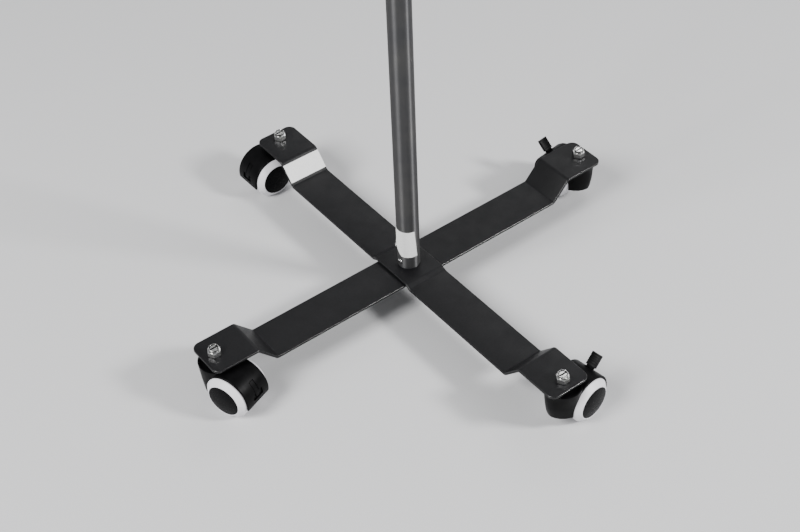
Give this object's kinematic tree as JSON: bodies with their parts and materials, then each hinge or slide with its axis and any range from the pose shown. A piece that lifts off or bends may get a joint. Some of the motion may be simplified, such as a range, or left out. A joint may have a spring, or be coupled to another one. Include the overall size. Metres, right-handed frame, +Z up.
{
  "type": "rolling background stand",
  "caption": "Rolling T-shaped background stand: crossed flat-bar base on hooded casters, telescopic upright and telescopic crossbar.",
  "frame": {"origin": "on the floor, under the axis of the upright", "axes": "+Z up along the upright, +X along the crossbar towards its right end, -Y towards the front; the four arms of the base point at 45 degrees between X and Y"},
  "size_m": [0.91, 0.4383, 1.0973],
  "materials": {
    "powder_black": "fine textured black powder coat",
    "dark_chrome": "polished dark chrome",
    "zinc": "bright zinc plating",
    "hood_plastic": "satin black nylon",
    "cap_plastic": "semi-gloss black",
    "wheel_white": "smooth off-white",
    "knob_plastic": "fine grained black",
    "paper": "blank white paper label"
  },
  "bodies": {
    "root": {"lower_bar": "powder_black", "upper_bar": "powder_black", "arm_label": "paper", "base_bolt": "zinc", "base_washer": "zinc", "foot_plug": "zinc", "foot_screw_low": "zinc", "foot_screw_high": "zinc", "lower_tube": "dark_chrome", "tube_label": "paper", "mast_collar": "knob_plastic", "front_left_stem": "zinc", "front_left_lock_nut": "zinc", "front_right_stem": "zinc", "front_right_lock_nut": "zinc", "rear_left_stem": "zinc", "rear_left_lock_nut": "zinc", "rear_right_stem": "zinc", "rear_right_lock_nut": "zinc"},
    "front_left_caster": {"front_left_hood": "hood_plastic", "front_left_axle": "zinc"},
    "front_left_wheel_a": {"front_left_wheel_a": "wheel_white", "front_left_cap_a": "cap_plastic"},
    "front_left_wheel_b": {"front_left_wheel_b": "wheel_white", "front_left_cap_b": "cap_plastic"},
    "front_right_caster": {"front_right_hood": "hood_plastic", "front_right_axle": "zinc"},
    "front_right_wheel_a": {"front_right_wheel_a": "wheel_white", "front_right_cap_a": "cap_plastic"},
    "front_right_wheel_b": {"front_right_wheel_b": "wheel_white", "front_right_cap_b": "cap_plastic"},
    "front_right_pedal": {"front_right_pedal": "hood_plastic"},
    "rear_left_caster": {"rear_left_hood": "hood_plastic", "rear_left_axle": "zinc"},
    "rear_left_wheel_a": {"rear_left_wheel_a": "wheel_white", "rear_left_cap_a": "cap_plastic"},
    "rear_left_wheel_b": {"rear_left_wheel_b": "wheel_white", "rear_left_cap_b": "cap_plastic"},
    "rear_right_caster": {"rear_right_hood": "hood_plastic", "rear_right_axle": "zinc"},
    "rear_right_wheel_a": {"rear_right_wheel_a": "wheel_white", "rear_right_cap_a": "cap_plastic"},
    "rear_right_wheel_b": {"rear_right_wheel_b": "wheel_white", "rear_right_cap_b": "cap_plastic"},
    "rear_right_pedal": {"rear_right_pedal": "hood_plastic"},
    "mast": {"upper_tube": "dark_chrome"},
    "head": {"tee_head": "knob_plastic", "crossbar": "dark_chrome", "crossbar_screw": "zinc", "end_collar_left": "knob_plastic", "end_collar_right": "knob_plastic"},
    "extension_left": {"extension_left": "dark_chrome", "end_cap_left": "knob_plastic"},
    "extension_right": {"extension_right": "dark_chrome", "end_cap_right": "knob_plastic"},
    "mast_knob": {"mast_knob": "knob_plastic"},
    "head_knob": {"head_knob": "knob_plastic"},
    "end_knob_left": {"end_knob_left": "knob_plastic"},
    "end_knob_right": {"end_knob_right": "knob_plastic"}
  },
  "joints": [
    {"name": "front_left_swivel", "type": "hinge", "parent": "root", "child": "front_left_caster", "pos_m": [-0.17678, -0.17678, 0.0513], "axis": [0, 0, 1], "continuous": true},
    {"name": "front_left_roll_a", "type": "hinge", "parent": "front_left_caster", "child": "front_left_wheel_a", "pos_m": [-0.15503, -0.18692, 0.025], "axis": [0.4226, 0.9063, 0], "continuous": true},
    {"name": "front_left_roll_b", "type": "hinge", "parent": "front_left_caster", "child": "front_left_wheel_b", "pos_m": [-0.15503, -0.18692, 0.025], "axis": [0.4226, 0.9063, 0], "continuous": true},
    {"name": "front_right_swivel", "type": "hinge", "parent": "root", "child": "front_right_caster", "pos_m": [0.17678, -0.17678, 0.0513], "axis": [0, 0, 1], "range_deg": [-236, 40]},
    {"name": "front_right_roll_a", "type": "hinge", "parent": "front_right_caster", "child": "front_right_wheel_a", "pos_m": [0.19122, -0.15761, 0.025], "axis": [-0.7986, 0.6018, 0], "continuous": true},
    {"name": "front_right_roll_b", "type": "hinge", "parent": "front_right_caster", "child": "front_right_wheel_b", "pos_m": [0.19122, -0.15761, 0.025], "axis": [-0.7986, 0.6018, 0], "continuous": true},
    {"name": "front_right_brake", "type": "hinge", "parent": "front_right_caster", "child": "front_right_pedal", "pos_m": [0.19965, -0.14643, 0.038], "axis": [-0.7986, 0.6018, 0], "range_deg": [0, 20]},
    {"name": "rear_left_swivel", "type": "hinge", "parent": "root", "child": "rear_left_caster", "pos_m": [-0.17678, 0.17678, 0.0513], "axis": [0, 0, 1], "continuous": true},
    {"name": "rear_left_roll_a", "type": "hinge", "parent": "rear_left_caster", "child": "rear_left_wheel_a", "pos_m": [-0.19345, 0.15951, 0.025], "axis": [0.7193, -0.6947, 0], "continuous": true},
    {"name": "rear_left_roll_b", "type": "hinge", "parent": "rear_left_caster", "child": "rear_left_wheel_b", "pos_m": [-0.19345, 0.15951, 0.025], "axis": [0.7193, -0.6947, 0], "continuous": true},
    {"name": "rear_right_swivel", "type": "hinge", "parent": "root", "child": "rear_right_caster", "pos_m": [0.17678, 0.17678, 0.0513], "axis": [0, 0, 1], "range_deg": [-236, 40]},
    {"name": "rear_right_roll_a", "type": "hinge", "parent": "rear_right_caster", "child": "rear_right_wheel_a", "pos_m": [0.15761, 0.19122, 0.025], "axis": [-0.6018, -0.7986, 0], "continuous": true},
    {"name": "rear_right_roll_b", "type": "hinge", "parent": "rear_right_caster", "child": "rear_right_wheel_b", "pos_m": [0.15761, 0.19122, 0.025], "axis": [-0.6018, -0.7986, 0], "continuous": true},
    {"name": "rear_right_brake", "type": "hinge", "parent": "rear_right_caster", "child": "rear_right_pedal", "pos_m": [0.14643, 0.19965, 0.038], "axis": [-0.6018, -0.7986, 0], "range_deg": [0, 20]},
    {"name": "mast_slide", "type": "slide", "parent": "root", "child": "mast", "axis": [0, 0, 1], "range_m": [0, 0.4]},
    {"name": "head_turn", "type": "hinge", "parent": "mast", "child": "head", "pos_m": [0, 0, 1.042], "axis": [0, 0, 1], "continuous": true},
    {"name": "extension_left_slide", "type": "slide", "parent": "head", "child": "extension_left", "axis": [-1, 0, 0], "range_m": [0, 0.28]},
    {"name": "extension_right_slide", "type": "slide", "parent": "head", "child": "extension_right", "axis": [1, 0, 0], "range_m": [0, 0.28]},
    {"name": "mast_knob_turn", "type": "hinge", "parent": "root", "child": "mast_knob", "pos_m": [0.03, 0, 0.815], "axis": [1, 0, 0], "range_deg": [0, 360]},
    {"name": "head_knob_turn", "type": "hinge", "parent": "head", "child": "head_knob", "pos_m": [0.03, 0, 1.04], "axis": [1, 0, 0], "range_deg": [0, 360]},
    {"name": "end_knob_left_turn", "type": "hinge", "parent": "head", "child": "end_knob_left", "pos_m": [-0.364, 0.03, 1.08], "axis": [0, 1, 0], "range_deg": [0, 360]},
    {"name": "end_knob_right_turn", "type": "hinge", "parent": "head", "child": "end_knob_right", "pos_m": [0.364, 0.03, 1.08], "axis": [0, 1, 0], "range_deg": [0, 360]}
  ]
}
